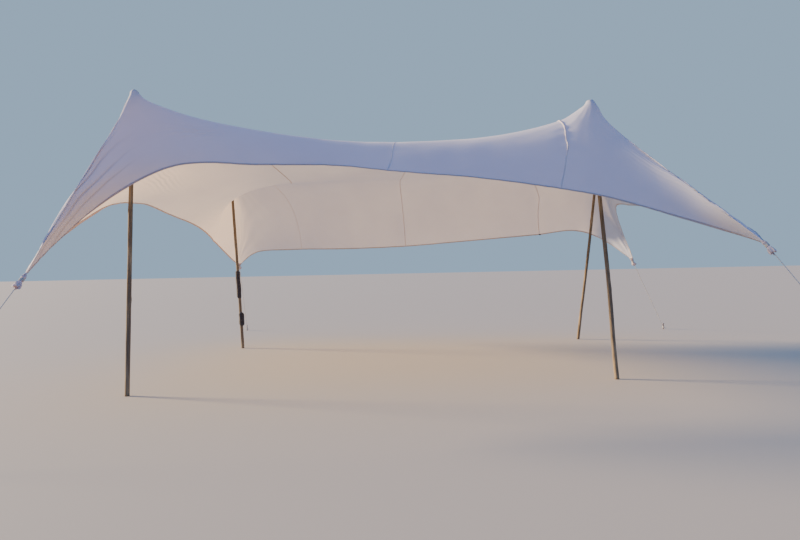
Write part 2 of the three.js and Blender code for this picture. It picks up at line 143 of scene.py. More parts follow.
def curve_at(rows, shares):
    """Places on a smooth curve through rows of share and place."""
    rows = np.array(rows, float)
    x, y = rows[:, 0], rows[:, 1:]
    h = np.diff(x)
    d = np.diff(y, axis=0) / h[:, None]
    m = np.zeros_like(y)
    m[0], m[-1] = d[0], d[-1]
    m[1:-1] = d[:-1] + (d[1:] - d[:-1]) * (h[:-1] / (h[:-1] + h[1:]))[:, None]
    i = np.clip(np.searchsorted(x, shares, side="right") - 1, 0, len(h) - 1)
    t, s = ((shares - x[i]) / h[i])[:, None], h[i][:, None]
    straight = y[i] + (y[i + 1] - y[i]) * t * t * (3 - 2 * t)
    return straight + m[i] * s * t * (1 - t) ** 2 - m[i + 1] * s * t * t * (1 - t)


def pull(u, v, du, dv):
    """Pull of the cloth at a place in one direction, more along ridges and tips."""
    bands = [(POLE_PLACES[a], POLE_PLACES[b], k, RIDGE_BAND) for a, b, k in RIDGE_PULLS]
    bands += [(CORNER_PLACES[c], POLE_PLACES[c], CORNER_PULLS[c], CORNER_BAND) for c in CORNERS]
    total = np.ones(np.broadcast(u, v).shape)
    for a, b, strength, width in bands:
        run = np.subtract(b, a)
        length = np.hypot(*run)
        s = np.clip(((u - a[0]) * run[0] + (v - a[1]) * run[1]) / length**2, 0, 1)
        away = np.hypot(u - a[0] - s * run[0], v - a[1] - s * run[1])
        aligned = (run[0] * du + run[1] * dv) / length
        total += strength * np.exp(-((away / width) ** 2)) * aligned**2
    return total


def pitched_sheet():
    """Lines across both ways and the places where they cross, held at peaks and edges."""
    us = spread([0, *[p[0] for p in POLE_PLACES.values()], WIDTH], SEAMS)
    vs = spread([0, *[p[1] for p in POLE_PLACES.values()], DEPTH], [])
    nu, nv = len(us), len(vs)
    du, dv = np.diff(us), np.diff(vs)
    share_u, share_v = ((np.append(d, 0) + np.append(0, d)) / 2 for d in (du, dv))
    um, vm = us[:-1] + du / 2, vs[:-1] + dv / 2
    n = np.arange(nu * nv).reshape(nu, nv)
    DU, DV = np.meshgrid(du, dv, indexing="ij")
    D = np.hypot(DU, DV)
    UM, VM = np.meshgrid(um, vm, indexing="ij")
    links = [
        (n[:-1], n[1:], ACROSS_PULL * np.outer(1 / du, share_v) * pull(um[:, None], vs[None, :], 1, 0)),
        (n[:, :-1], n[:, 1:], np.outer(share_u, 1 / dv) * pull(us[:, None], vm[None, :], 0, 1)),
        (n[:-1, :-1], n[1:, 1:], DU * DV / D**2 * pull(UM, VM, DU / D, DV / D)),
        (n[1:, :-1], n[:-1, 1:], DU * DV / D**2 * pull(UM, VM, DU / D, -DV / D)),
    ]
    stiffness = np.zeros((nu * nv, nu * nv))
    for a, b, k in links:
        a, b, k = a.ravel(), b.ravel(), k.ravel()
        for row, column, force in ((a, a, k), (b, b, k), (a, b, -k), (b, a, -k)):
            np.add.at(stiffness, (row, column), force)

    def edge(name, start, end, shares):
        return curve_at([(0, *TIP[start]), *EDGES[name], (1, *TIP[end])], shares)

    points = np.zeros((nu, nv, 3))
    held = np.zeros((nu, nv), bool)
    points[:, 0] = edge("front", "front_left", "front_right", us / WIDTH)
    points[:, -1] = edge("back", "back_left", "back_right", us / WIDTH)
    points[0] = edge("left", "front_left", "back_left", vs / DEPTH)
    points[-1] = edge("right", "front_right", "back_right", vs / DEPTH)
    held[0] = held[-1] = True
    held[:, 0] = held[:, -1] = True
    for name, (u, v) in POLE_PLACES.items():
        i, j = np.abs(us - u).argmin(), np.abs(vs - v).argmin()
        for di in (-1, 0, 1):
            for dj in (-1, 0, 1):
                out = PEAK_RADIUS / np.hypot(di, dj) if di or dj else 0
                drop = PEAK_DROP if di or dj else 0
                points[i + di, j + dj] = np.array(PEAK[name]) + (di * out, dj * out, -drop)
                held[i + di, j + dj] = True
    points, fixed = points.reshape(-1, 3), held.ravel()
    U, V = (x.ravel() for x in np.meshgrid(us, vs, indexing="ij"))
    for _ in range(4):
        free = ~fixed
        load = -stiffness[np.ix_(free, fixed)] @ points[fixed]
        points[free] = np.linalg.solve(stiffness[np.ix_(free, free)], load)
        touching = []
        for name, (u, v) in POLE_PLACES.items():
            away = np.stack([U - u, V - v], 1)
            length = np.hypot(*away.T)
            for k in np.where(free & (length < NEAR_POLE))[0]:
                lean = (np.array(PEAK[name][:2]) - FOOT[name]) * points[k, 2] / PEAK[name][2]
                out = away[k] / length[k]
                short = POLE_CLEARANCE - (points[k, :2] - FOOT[name] - lean) @ out
                if short > 0:
                    touching.append((k, out * short))
        for k, move in touching:
            points[k, :2] += move
            fixed[k] = True
        if not touching:
            break

    def sink(most, far, away):
        return most * away / far * np.exp(1 - away / far)

    for name, (around, to_corner) in SINKS.items():
        (u, v), (cu, cv) = POLE_PLACES[name], CORNER_PLACES[name]
        away = np.maximum(np.hypot(U - u, V - v), 1e-6)
        facing = ((U - u) * (cu - u) + (V - v) * (cv - v)) / away / np.hypot(cu - u, cv - v)
        facing = np.maximum(0, facing) ** 2
        margin = np.minimum(1, np.min([U, WIDTH - U, V, DEPTH - V], axis=0) / SINK_MARGIN)
        points[:, 2] -= (sink(*around, away) * (1 - facing) + sink(*to_corner, away) * facing) * margin
    return us / 1000, vs / 1000, points.reshape(nu, nv, 3) / 1000


# Each cell of the worked-out sheet becomes a smooth patch of smaller cells
SPLIT = 8


def finer(count):
    """Weights that turn values on a row of lines into smooth values on the cells between."""
    line = np.eye(count)
    line = np.vstack([2 * line[0] - line[1], line, 2 * line[-1] - line[-2]])
    place = np.arange((count - 1) * SPLIT + 1) / SPLIT
    i = np.minimum(place.astype(int), count - 2)
    t = (place - i)[:, None]
    before, after = (-t + 2 * t**2 - t**3) * line[i], (t**3 - t**2) * line[i + 3]
    middle = (2 - 5 * t**2 + 3 * t**3) * line[i + 1] + (t + 4 * t**2 - 3 * t**3) * line[i + 2]
    return 0.5 * (before + middle + after)


US, VS, COARSE = pitched_sheet()
FINE_U, FINE_V = finer(len(US)), finer(len(VS))
SHEET = np.einsum("ai,ijk,bj->abk", FINE_U, COARSE, FINE_V)
U, V = np.meshgrid(FINE_U @ US, FINE_V @ VS, indexing="ij")
S, T = np.meshgrid(np.arange(SHEET.shape[0]) / SPLIT, np.arange(SHEET.shape[1]) / SPLIT, indexing="ij")


def normals_of(grid):
    return unit(np.cross(np.gradient(grid, axis=0), np.gradient(grid, axis=1)))


def waves(x, y, seed, longest, shortest, count=12):
    """Smooth seeded waviness over a surface, about -1 to 1."""
    random = np.random.default_rng(seed)
    total = 0
    for _ in range(count):
        length = math.exp(random.uniform(math.log(shortest), math.log(longest)))
        turn, phase = random.uniform(0, math.tau, 2)
        total += np.sin(math.tau * (x * math.cos(turn) + y * math.sin(turn)) / length + phase)
    return total / math.sqrt(count)


def blurred(grid, size):
    kernel = np.exp(-0.5 * (np.arange(-3 * size, 3 * size + 1) / size) ** 2)
    kernel /= kernel.sum()
    for axis in (0, 1):
        wide = np.pad(grid, [(3 * size, 3 * size) if k == axis else (0, 0) for k in range(3)], mode="edge")
        grid = np.apply_along_axis(lambda row: np.convolve(row, kernel, mode="valid"), axis, wide)
    return grid


# Cloth drawn over the blunt padded pole tops: distance out and drop, in millimetres
CAPS = by_corner(
    (
        (0, 0), (14, 3), (24, 10), (36, 18), (46, 29), (53, 44),
        (60, 60), (76, 76), (94, 91), (130, 114), (220, 177), (315, 237),
    ),
    ((0, 0), (20, 1), (34, 4), (44, 10), (50, 20), (56, 36), (66, 54), (80, 69), (100, 84), (130, 102)),
    ((0, 0), (16, 2), (28, 7), (38, 16), (46, 30), (55, 46), (67, 63), (80, 77), (100, 95), (130, 120)),
    ((0, 0), (16, 2), (27, 8), (36, 18), (44, 31), (53, 46), (65, 63), (80, 79), (100, 97), (130, 122)),
)
# The front poles lean a little further than in the CAD, and the left one ends lower
LEAN = {"front_left": np.array((-0.012, 0, -0.014)), "front_right": np.array((-0.006, 0, 0))}
FEET = {name: metres(FOOT[name]) for name in CORNERS}
TOPS = {name: metres(PEAK[name]) + LEAN.get(name, 0) for name in CORNERS}
# Its cap has a steeper side: which way it faces, and how much further out it drops, in millimetres
STEEP, STEEP_WAY = "front_left", (-0.998, 0.068, 0)
STEEPER = ((0, 20, 34, 39, 48, 63, 90, 120), (0, 0, 10, 20, 32, 71, 130, 195))
CAP_DEPTH = 0.3


def with_cap(sheet, name):
    peak = TOPS[name]
    axis = unit(peak - FEET[name])
    from_peak = sheet - peak
    height = from_peak @ axis
    aside = from_peak - height[..., None] * axis
    away = np.linalg.norm(aside, axis=-1)
    out, wider = away, 0
    if name == STEEP:
        outer = smooth(0.05, 0.5, aside @ STEEP_WAY / np.maximum(away, 0.001))
        marks, more = np.array(STEEPER) / 1000
        wider = 0.05 * outer
        out = away + outer * np.interp(away, marks, more)
    places, drops = np.array(CAPS[name]).T / 1000
    near = height > -CAP_DEPTH
    hold = (1 - smooth(0.055, 0.12, away - wider)) * near
    sheet = sheet + (hold * (-np.interp(out, places, drops) - height))[..., None] * axis
    highest = np.where(out < 0.1, peak[2] + CLOTH_HALF, np.inf)
    sheet[..., 2] = np.minimum(sheet[..., 2], highest)
    foot = smooth(0.035, 0.06, away) * (1 - smooth(0.12, 0.2, away)) * near
    return sheet + foot[..., None] * (blurred(sheet, 2) - sheet)


def from_corner(name):
    """Cells along both edges from a corner, and flat distances."""
    right, back = name.endswith("right"), name.startswith("back")
    s, u = (S[-1, 0] - S, FLAT_WIDTH - U) if right else (S, U)
    t, v = (T[0, -1] - T, FLAT_DEPTH - V) if back else (T, V)
    return s, t, u, v


def from_pole(name):
    """Flat offsets and distance from a pole's place under the sheet."""
    u, v = U - POLE_PLACES[name][0] / 1000, V - POLE_PLACES[name][1] / 1000
    return u, v, np.hypot(u, v)


def turned(grid, name):
    """A grid turned so that a corner is its first point."""
    return grid[:: -1 if name.endswith("right") else 1, :: -1 if name.startswith("back") else 1]


def between(grid, i, j):
    """Values of a grid at places between its points."""
    a, b = np.minimum(i.astype(int), grid.shape[0] - 2), np.minimum(j.astype(int), grid.shape[1] - 2)
    x, y = (i - a)[:, None], (j - b)[:, None]
    near = grid[a, b] * (1 - x) + grid[a + 1, b] * x
    far = grid[a, b + 1] * (1 - x) + grid[a + 1, b + 1] * x
    return near * (1 - y) + far * y


def on_sheet(grid, u, v):
    """Values of a grid at places on the flat sheet."""
    return between(grid, np.interp(u, U[:, 0], np.arange(len(U))), np.interp(v, V[0], np.arange(len(V[0]))))


def along_line(start, end):
    """Share of the way along a line on the flat sheet, and signed distance from it."""
    run = np.array(end) - start
    length = np.hypot(*run)
    share = ((U - start[0]) * run[0] + (V - start[1]) * run[1]) / length**2
    return share, ((U - start[0]) * run[1] - (V - start[1]) * run[0]) / length


# Corners gathered into necks: width at the knot, as a share of the smooth sheet's
NECKING = by_corner(1.0, 0.95, 0.85, 0.85)
NECK_CELLS, NECK_END = 6, 4.3
NECK, SQUEEZE = {}, {}


def with_neck(sheet, name):
    s, t, u, v = from_corner(name)
    cells = s + t
    step = np.clip(cells, 0, NECK_CELLS) * SPLIT
    low = np.minimum(step.astype(int), NECK_CELLS * SPLIT - 1)
    part = (step - low)[..., None]
    edges = turned(sheet, name)[:, 0], turned(sheet, name)[0]
    a, b = (edge[low] * (1 - part) + edge[low + 1] * part for edge in edges)
    middle = (a + b) / 2
    narrow = NECKING[name] + (1 - NECKING[name]) * smooth(0.8, 3.0, cells)
    squeeze = np.linalg.norm(a - b, axis=-1) * narrow / np.maximum(np.hypot(u, v), 0.02)
    NECK[name] = (edges[0][SPLIT] + edges[1][SPLIT]) / 2
    SQUEEZE[name] = np.clip(squeeze, 0.05, 1.2)
    return np.where((cells < NECK_END)[..., None], middle + (sheet - middle) * narrow[..., None], sheet)


def softened(sheet):
    """The back left corner turns in a soft round, not on its diagonal."""
    share, aside = along_line((1.0, 4.22), (0.0, FLAT_DEPTH))
    soften = smooth(0.12, 0.35, share) * (1 - smooth(0.75, 0.92, share)) * np.exp(-((aside / 0.32) ** 2))
    return sheet + (soften * smooth(0.02, 0.2, EDGE_AWAY))[..., None] * (blurred(sheet, 13) - sheet)


EDGE_AWAY = np.min([U, FLAT_WIDTH - U, V, FLAT_DEPTH - V], axis=0)
for name in CORNERS:
    SHEET = with_cap(SHEET, name)
for name in CORNERS:
    SHEET = with_neck(SHEET, name)
SHEET = softened(SHEET)

# Long folds down the front left tip: low end, high end, depth, half width
FOLDS = (
    ((0.09, 0.05), (0.70, 0.39), 0.008, 0.008),
    ((0.13, 0.02), (0.74, 0.32), 0.008, 0.009),
    ((0.22, -0.01), (0.76, 0.23), 0.007, 0.008),
    ((0.30, -0.02), (0.78, 0.15), 0.004, 0.007),
)
DEEPEST_FOLD, FOLD_SHARE = 0.007, 0.13
SEAM_STRENGTHS = (0.3 * smooth(0.8, 1.2, V) * (1 - smooth(3.9, 4.2, V)), 0.4, 1.0)


def fan(turn, far, squeeze, seed, number, first, last, reach):
    """Uneven folds that fan out from a point, no deeper than their width lets them be."""
    random = np.random.default_rng(seed)
    total = 0
    for k in range(number):
        count = first + (last - first) * (k + random.uniform(0, 1)) / number
        length = reach * random.uniform(0.6, 1.3)
        wide = math.tau * far * squeeze / count
        depth = np.minimum(DEEPEST_FOLD, FOLD_SHARE * wide) * np.exp(-((far / length) ** 1.5))
        phase, size = random.uniform(0, math.tau), random.uniform(0.6, 1.1)
        total += depth * np.cos(count * turn + phase) * size
    return total / math.sqrt(number / 2)


def pleats_at(n, name):
    """Pleats running up from a corner's knot and down from its pole."""
    _, _, u, v = from_corner(name)
    far = np.hypot(u, v)
    turn = np.arctan2(v, u) + 0.07 * waves(u, v, 20 + n, 1.6, 0.6) * smooth(0.2, 0.8, far)
    strength = 0.35 if name == "back_left" else 1
    total = strength * fan(turn, far, SQUEEZE[name], 50 + n, 4, 14, 34, 0.95) * smooth(0.1, 0.35, far)
    u, v, far = from_pole(name)
    turn = np.arctan2(v, u) + 0.12 * waves(U, V, 40 + n, 1.4, 0.5) * smooth(0.1, 0.6, far)
    return total + 0.2 * fan(turn, far, 1.0, 70 + n, 4, 9, 27, 0.42) * smooth(0.08, 0.25, far)


def puckers_at(k):
    """Puckers beside a seam, and the furrow that it sits in."""
    away = np.abs(U - SEAMS[k] / 1000)
    pucker = 0.0035 * waves(0 * V + 3 * k, V, 60 + k, 0.22, 0.09, 6) * np.exp(-away / 0.07)
    return SEAM_STRENGTHS[k] * (pucker - 0.006 * np.exp(-((away / 0.09) ** 2)))


def relief():
    """Height of folds, waves and puckers over the smooth sheet."""
    total = sum(pleats_at(n, name) for n, name in enumerate(CORNERS))
    corners = [np.hypot(U - u / 1000, V - v / 1000) for u, v in CORNER_PLACES.values()]
    total += 0.005 * waves(U, V, 5, 2.6, 0.8) * smooth(0.0, 0.5, EDGE_AWAY)
    total += 0.0012 * waves(U, V, 6, 0.7, 0.3) * smooth(0.3, 1.2, np.min(corners, axis=0))
    far = corners[CORNERS.index("front_right")]
    wrinkles = fan(np.arctan2(V, FLAT_WIDTH - U), far, 1.0, 90, 5, 26, 60, 1.9)
    total += 0.5 * wrinkles * smooth(0.6, 1.2, far) * smooth(0.03, 0.2, V)

    # Crease from the back left pole to the left edge
    share, aside = along_line((0.92, 4.27), (0.0, 4.22))
    crease = np.exp(-np.abs(aside) / 0.11) * smooth(0.0, 0.3, share) * (1 - smooth(1.0, 1.15, share))
    total += 0.028 * crease + sum(puckers_at(k) for k in range(len(SEAMS)))
    for low, high, depth, wide in FOLDS:
        share, aside = along_line(low, high)
        ends = smooth(0.0, 0.12, share) * (1 - smooth(0.8, 1.05, share))
        total -= 0.7 * depth * np.exp(-((aside / (wide + 0.013)) ** 2)) * ends
    return total


SHEET = SHEET + normals_of(SHEET) * relief()[..., None]
NORMAL = normals_of(SHEET)


# Building blocks for the meshes
def make(name, skin, material, replaces=(), colour=None):
    points, faces, uv = skin
    mesh = bpy.data.meshes.new(name)
    mesh.from_pydata(points.tolist(), [], faces)
    mesh.validate()
    mesh.polygons.foreach_set("use_smooth", [True] * len(mesh.polygons))
    layer = mesh.uv_layers.new(name="flat")
    corners = np.zeros(len(mesh.loops), dtype=np.int32)
    mesh.loops.foreach_get("vertex_index", corners)
    layer.data.foreach_set("uv", uv[corners].ravel())
    # Per-point tint: painted shade over the pole tops on the canopy, a plain tone on the tuft
    if colour is not None:
        layer = mesh.color_attributes.new(name="tone_and_pad_shade", type="FLOAT_COLOR", domain="POINT")
        values = np.ones((len(mesh.vertices), 4))
        values[:, :3] = colour[:, None] ** (0.92, 1.0, 1.25)
        layer.data.foreach_set("color", values.ravel())
    mesh.update()
    obj = bpy.data.objects.new(name, mesh)
    bpy.context.scene.collection.objects.link(obj)
    obj.data.materials.append(material)
    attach(obj, "root")
    if replaces:
        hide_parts(*replaces)
    return obj


def lengths(path):
    """Distance along a path to each of its points."""
    return np.concatenate([[0], np.cumsum(np.linalg.norm(np.diff(path, axis=0), axis=1))])


def resampled(values, along, marks):
    """Values of a path's points, read at marks along it."""
    return np.stack([np.interp(marks, along, column) for column in values.T], 1)


def round_angles(sides):
    return np.arange(sides) * math.tau / sides


def ring(angle, first, second):
    """Directions round a circle between two crossing directions."""
    return np.cos(angle)[..., None] * first + np.sin(angle)[..., None] * second


def loft(rings):
    """Points, faces and flat coordinates of a closed skin over rings of equal count."""
    count, sides = rings.shape[:2]
    points = np.vstack([rings.reshape(-1, 3), rings[0].mean(axis=0), rings[-1].mean(axis=0)])
    faces = []
    for r in range(count - 1):
        for k in range(sides):
            a, b = r * sides + k, r * sides + (k + 1) % sides
            faces.append((a, b, b + sides, a + sides))
    along = lengths(rings.mean(axis=1))
    uv = np.stack(np.meshgrid(along, np.arange(sides) / sides, indexing="ij"), -1).reshape(-1, 2)
    uv = np.vstack([uv, [0, 0.5], [along[-1], 0.5]])
    start, end = len(points) - 2, len(points) - 1
    last = (count - 1) * sides
    for k in range(sides):
        faces.append((start, (k + 1) % sides, k))
        faces.append((end, last + k, last + (k + 1) % sides))
    return points, faces, uv


def upright(centre, radius):
    """A skin of level rings round a line, with a radius for every point of every ring."""
    around = ring(round_angles(radius.shape[1]), EAST, NORTH)
    return loft(centre[:, None] + around * radius[..., None])


def frames_along(path):
    """Two directions across a path that turn with it and don't twist."""
    run = unit(np.gradient(path, axis=0))
    e1 = [unit(np.cross(run[0], (0.3, 0.2, 1.0)))]
    for r in run[1:]:
        e1.append(unit(e1[-1] - r * (e1[-1] @ r)))
    e1 = np.array(e1)
    return e1, np.cross(run, e1)


def tube(path, radius, sides):
    e1, e2 = frames_along(path)
    return path[:, None] + ring(round_angles(sides), e1[:, None], e2[:, None]) * radius


def twisted(path, radius, pitch):
    """Three laid strands along a path."""
    along = lengths(path)
    path = resampled(path, along, np.linspace(0, along[-1], int(along[-1] / STRAND_STEP) + 1))
    along = np.arange(len(path)) * STRAND_STEP
    e1, e2 = frames_along(path)
    strands = []
    for strand in range(3):
        turn = math.tau * (along / pitch + strand / 3)
        centre = path + (e1 * np.cos(turn)[:, None] + e2 * np.sin(turn)[:, None]) * radius * 0.5
        strands.append(loft(tube(centre, radius * 0.56, 7)))
    points, faces, uvs = zip(*strands)
    faces = [[k + n * len(points[0]) for k in face] for n, part in enumerate(faces) for face in part]
    return np.vstack(points), faces, np.vstack(uvs)


# Building blocks for the materials
def principled(name):
    material = bpy.data.materials.new(name)
    material.use_nodes = True
    return material, material.node_tree.nodes["Principled BSDF"]


def is_socket(value):
    return isinstance(value, bpy.types.NodeSocket)


def plug(node, inputs):
    """Link or set the inputs of a node."""
    for key, value in inputs.items():
        if is_socket(value):
            node.id_data.links.new(value, node.inputs[key])
        else:
            node.inputs[key].default_value = value
    return node


def add(beside, kind, inputs=None, **settings):
    """A new node in the tree of another node or socket."""
    node = beside.id_data.nodes.new(kind)
    for key, value in settings.items():
        setattr(node, key, value)
    return plug(node, inputs or {})


def place_in_space(shader):
    return add(shader, "ShaderNodeTexCoord").outputs["Object"]


def scaled(vector, scale):
    return add(vector, "ShaderNodeMapping", {"Vector": vector, "Scale": scale}).outputs["Vector"]


def noise(vector, scale, detail, roughness=0.55):
    inputs = {"Vector": vector, "Scale": scale, "Detail": detail, "Roughness": roughness}
    return add(vector, "ShaderNodeTexNoise", inputs).outputs["Fac"]


def ramp(fac, stops):
    """Colours, or greys given as one number, along a value."""
    node = add(fac, "ShaderNodeValToRGB", {"Fac": fac})
    while len(node.color_ramp.elements) < len(stops):
        node.color_ramp.elements.new(0.5)
    for element, (place, colour) in zip(node.color_ramp.elements, stops):
        element.position = place
        element.color = (*colour, 1) if isinstance(colour, tuple) else (colour, colour, colour, 1)
    return node.outputs["Color"]


def mixed(fac, a, b, blend="MIX"):
    node = add(next(filter(is_socket, (fac, a, b))), "ShaderNodeMix", data_type="RGBA", blend_type=blend)
    for key, value in (("Factor", fac), ("A", a), ("B", b)):
        at = next(k for k, socket in enumerate(node.inputs) if socket.name == key and socket.enabled)
        plug(node, {at: (*value, 1) if isinstance(value, tuple) else value})
    return next(s for s in node.outputs if s.enabled)


def maths(operation, *values):
    beside = next(filter(is_socket, values))
    return add(beside, "ShaderNodeMath", dict(enumerate(values)), operation=operation).outputs["Value"]


def times(a, b):
    return maths("MULTIPLY", a, b)


def bump(height, strength, distance, under=None):
    under = {"Normal": under} if under else {}
    inputs = {"Height": height, "Strength": strength, "Distance": distance, **under}
    return add(height, "ShaderNodeBump", inputs).outputs["Normal"]


def bands(uv, way, scale, distortion):
    inputs = {"Vector": uv, "Scale": scale, "Distortion": distortion, "Detail": 1.0}
    return add(uv, "ShaderNodeTexWave", inputs, bands_direction=way).outputs["Fac"]


# Small stress wrinkles: middle, direction, size along and across, spacing, depth
WRINKLES = (
    ((0.42, 1.58), (-0.22, 0.975), 0.30, 0.12, 0.050, 0.0028),
    ((1.26, 0.43), (0.966, 0.26), 0.17, 0.085, 0.048, 0.0036),
    ((2.90, 0.60), (0.98, 0.10), 0.22, 0.06, 0.055, 0.0008),
    ((0.75, 3.90), (0.70, 0.70), 0.18, 0.10, 0.060, 0.0014),
    ((5.25, 4.45), (0.70, 0.70), 0.18, 0.10, 0.060, 0.0014),
    ((5.20, 0.30), (0.99, -0.13), 0.45, 0.13, 0.036, 0.0010),
)


def folded(uv):
    """Height in metres of the small wrinkles and long folds, and a mask along the folds for painted shade.
    """
    drift = noise(uv, 3.0, 2)

    def place(middle, run):
        moved = add(uv, "ShaderNodeVectorMath", {0: uv, 1: (*middle, 0)}, operation="SUBTRACT")
        for way in ((run[0], run[1], 0), (run[1], -run[0], 0)):
            inputs = {0: moved.outputs["Vector"], 1: way}
            yield add(uv, "ShaderNodeVectorMath", inputs, operation="DOT_PRODUCT").outputs["Value"]

    def bell(x, size):
        return maths("EXPONENT", times(times(x, x), -1 / size**2))

    total = fold_shade = 0.0
    for middle, run, long, wide, spacing, depth in WRINKLES:
        share, aside = place(middle, run)
        bent = maths("MULTIPLY_ADD", drift, 0.10, aside)
        ripple = maths("SINE", times(bent, math.tau / spacing))
        ripple = times(ripple, times(bell(share, long), bell(aside, wide)))
        total = maths("MULTIPLY_ADD", ripple, depth, total)
    for low, high, depth, wide in FOLDS:
        length = math.dist(low, high)
        run = ((high[0] - low[0]) / length, (high[1] - low[1]) / length)
        middle = ((low[0] + high[0]) / 2, (low[1] + high[1]) / 2)
        share, aside = place(middle, run)
        bent = maths("MULTIPLY_ADD", maths("SUBTRACT", drift, 0.5), 0.05, aside)
        ends = maths("POWER", maths("ABSOLUTE", maths("DIVIDE", share, length * 0.56)), 4.0)
        fold = times(bell(bent, wide), maths("EXPONENT", times(ends, -1.0)))
        total = maths("MULTIPLY_ADD", fold, -depth, total)
        fold_shade = maths("MAXIMUM", fold, fold_shade)
    return total, fold_shade


def stitches(uv):
    """Rows of short stitches along a hem or seam."""
    split = add(uv, "ShaderNodeSeparateXYZ", {"Vector": uv})
    dash = maths("SINE", times(split.outputs["X"], math.tau / 0.006))
    rows = maths("PINGPONG", times(split.outputs["Y"], 4.0), 0.5)
    line = maths("LESS_THAN", maths("ABSOLUTE", maths("SUBTRACT", rows, 0.25)), 0.07)
    return times(maths("GREATER_THAN", dash, -0.3), line)


def cloth_material(name, see_through, low, high, stitched=False):
    material, shader = principled(name)
    uv = add(shader, "ShaderNodeUVMap", uv_map="flat").outputs["UV"]
    space = place_in_space(shader)
    colour = ramp(noise(space, 1.1, 5), ((0.3, low), (0.7, high)))
    colour = mixed(times(noise(space, 7.0, 4), 0.2), colour, (0.66, 0.63, 0.68))
    # The per-point tint carries the canopy's painted shade over the pole tops
    if not stitched:
        tone_and_pad_shade = add(shader, "ShaderNodeVertexColor", layer_name="tone_and_pad_shade").outputs["Color"]
        colour = mixed(1.0, colour, tone_and_pad_shade, "MULTIPLY")
    normal = bump(noise(space, 5.0, 5, 0.5), 0.12, 0.010)
    if name == "stretch_cloth":
        heights, fold_shade = folded(uv)
        normal = bump(heights, 1.0, 1.0, normal)
        # Painted shade: the cloth is darkened along the valleys of the long folds
        colour = mixed(times(fold_shade, 0.55), colour, (0.42, 0.39, 0.44))
    ribs, courses = bands(uv, "X", 260.0, 0.6), bands(uv, "Y", 200.0, 0.4)
    normal = bump(times(ribs, courses), 0.15, 0.0005, normal)
    if stitched:
        stitch = stitches(uv)
        colour = mixed(times(stitch, 0.3), colour, (0.60, 0.58, 0.64))
        normal = bump(stitch, 0.6, 0.0015, normal)
    plug(shader, {"Base Color": colour, "Normal": normal, "Roughness": 0.62})
    plug(shader, {"Sheen Weight": 0.25, "Sheen Roughness": 0.45, "Specular IOR Level": 0.3})
    glow = mixed(1.0, colour, (1.0, 0.80, 0.50), "MULTIPLY")
    through = add(shader, "ShaderNodeBsdfTranslucent", {"Color": glow, "Normal": normal})
    sides = {0: see_through, 1: shader.outputs["BSDF"], 2: through.outputs["BSDF"]}
    blend = add(shader, "ShaderNodeMixShader", sides)
    plug(material.node_tree.nodes["Material Output"], {"Surface": blend.outputs["Shader"]})
    return material


def wood_material(name, dark):
    material, shader = principled(name)
    space = place_in_space(shader)
    grain = noise(scaled(space, (60, 60, 2.2)), 1.0, 8, 0.65)
    patch = noise(scaled(space, (8, 8, 1.6)), 1.0, 5)
    cracks = noise(scaled(space, (130, 130, 3.0)), 1.0, 3)
    browns = ((0.3, (0.125, 0.085, 0.045)), (0.52, (0.27, 0.19, 0.105)), (0.72, (0.44, 0.33, 0.195)))
    bark = ramp(patch, ((0.42, 0), (0.56, 1)))
    colour = mixed(times(bark, dark), ramp(grain, browns), (0.085, 0.062, 0.047))
    cells = add(space, "ShaderNodeTexVoronoi", {"Vector": scaled(space, (9, 9, 2.4)), "Scale": 1.0})
    knots = ramp(cells.outputs["Distance"], ((0.05, 1), (0.16, 0)))
    colour = mixed(times(knots, 0.7), colour, (0.06, 0.04, 0.03))
    normal = bump(grain, 0.5, 0.003)
    normal = bump(ramp(cracks, ((0.36, 0), (0.42, 1))), 0.5, 0.002, normal)
    rough = ramp(grain, ((0.2, 0.92), (0.8, 0.72)))
    plug(shader, {"Base Color": colour, "Normal": normal, "Roughness": rough})
    return material


def wrap_material(name, low, high):
    material, shader = principled(name)
    space = place_in_space(shader)
    crumple = noise(scaled(space, (20, 20, 60)), 1.0, 6)
    normal = bump(noise(space, 900.0, 2), 0.4, 0.0006, bump(crumple, 0.5, 0.006))
    colour = ramp(crumple, ((0.3, low), (0.7, high)))
    plug(shader, {"Base Color": colour, "Normal": normal, "Roughness": 0.9, "Sheen Weight": 0.2})
    return material


def rope_material(name):
    material, shader = principled(name)
    space = place_in_space(shader)
    fibre = noise(scaled(space, (500, 500, 120)), 1.0, 3)
    colour = ramp(fibre, ((0.3, (0.50, 0.46, 0.40)), (0.7, (0.76, 0.73, 0.67))))
    colour = mixed(times(noise(space, 9.0, 4), 0.4), colour, (0.36, 0.30, 0.24))
    plug(shader, {"Base Color": colour, "Normal": bump(fibre, 0.5, 0.0006), "Roughness": 0.85})
    return material


def steel_material(name):
    material, shader = principled(name)
    space = place_in_space(shader)
    rust = ramp(noise(space, 38.0, 7, 0.65), ((0.44, 0), (0.60, 1)))
    colour = mixed(rust, (0.36, 0.35, 0.34), (0.20, 0.085, 0.04))
    metal = maths("SUBTRACT", 0.9, times(rust, 0.8))
    rough = maths("ADD", 0.38, times(rust, 0.5))
    pits = bump(noise(space, 260.0, 4), 0.4, 0.001)
    plug(shader, {"Base Color": colour, "Metallic": metal, "Roughness": rough, "Normal": pits})
    return material


